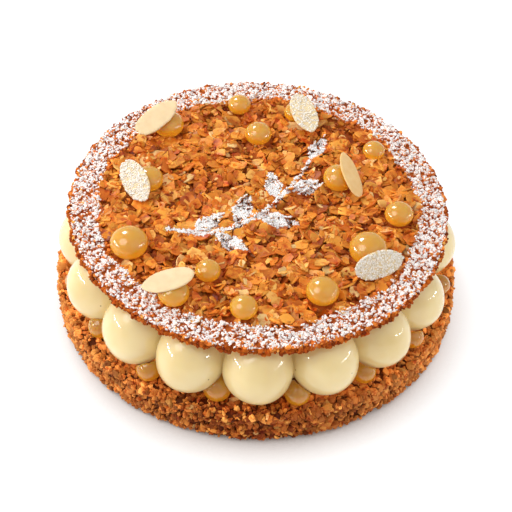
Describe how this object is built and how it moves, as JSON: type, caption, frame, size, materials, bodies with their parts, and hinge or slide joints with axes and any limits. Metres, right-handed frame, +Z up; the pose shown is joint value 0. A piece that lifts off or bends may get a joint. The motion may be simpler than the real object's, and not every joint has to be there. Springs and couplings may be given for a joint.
{
  "type": "pear frangipane tart",
  "caption": "Round layered tart: nut crumb base, ring of piped vanilla cream balls with pear gel beads, and a crisp flaked almond lid with gel drops and almond slices.",
  "frame": {"origin": "middle of the flat underside of the base, on the table", "axes": "+Z up, -Y towards the front of the tart, +X to the right"},
  "size_m": [0.2006, 0.2005, 0.0722],
  "materials": {
    "nut_crumb": "matt, coarse golden brown nut and biscuit crumb",
    "vanilla_cream": "smooth satin vanilla cream",
    "almond_crisp": "caramelised almond flakes with a band of icing sugar",
    "pear_gel": "clear amber pear gel, wet gloss",
    "almond_flesh": "pale ivory almond slice, dry"
  },
  "bodies": {
    "root": {"crumb_base": "nut_crumb", "cream_filling": "vanilla_cream", "cream_ball_01": "vanilla_cream", "cream_ball_02": "vanilla_cream", "cream_ball_03": "vanilla_cream", "cream_ball_04": "vanilla_cream", "cream_ball_05": "vanilla_cream", "cream_ball_06": "vanilla_cream", "cream_ball_07": "vanilla_cream", "cream_ball_08": "vanilla_cream", "cream_ball_09": "vanilla_cream", "cream_ball_10": "vanilla_cream", "cream_ball_11": "vanilla_cream", "cream_ball_12": "vanilla_cream", "cream_ball_13": "vanilla_cream", "cream_ball_14": "vanilla_cream", "cream_ball_15": "vanilla_cream", "cream_ball_16": "vanilla_cream", "pear_bead_01": "pear_gel", "pear_bead_02": "pear_gel", "pear_bead_03": "pear_gel", "pear_bead_04": "pear_gel", "pear_bead_05": "pear_gel", "pear_bead_06": "pear_gel", "pear_bead_07": "pear_gel", "pear_bead_08": "pear_gel", "pear_bead_09": "pear_gel", "pear_bead_10": "pear_gel", "pear_bead_11": "pear_gel", "pear_bead_12": "pear_gel", "pear_bead_13": "pear_gel", "pear_bead_14": "pear_gel", "pear_bead_15": "pear_gel", "pear_bead_16": "pear_gel", "almond_lid": "almond_crisp", "pear_drop_01": "pear_gel", "pear_drop_02": "pear_gel", "pear_drop_03": "pear_gel", "pear_drop_04": "pear_gel", "pear_drop_05": "pear_gel", "pear_drop_06": "pear_gel", "pear_drop_07": "pear_gel", "pear_drop_08": "pear_gel", "pear_drop_09": "pear_gel", "pear_drop_10": "pear_gel", "pear_drop_11": "pear_gel", "pear_drop_12": "pear_gel", "pear_drop_13": "pear_gel", "pear_drop_14": "pear_gel", "almond_slice_1": "almond_flesh", "almond_slice_2": "almond_flesh", "almond_slice_3": "almond_flesh", "almond_slice_4": "almond_flesh", "almond_slice_5": "almond_flesh", "almond_slice_6": "almond_flesh"}
  },
  "joints": []
}
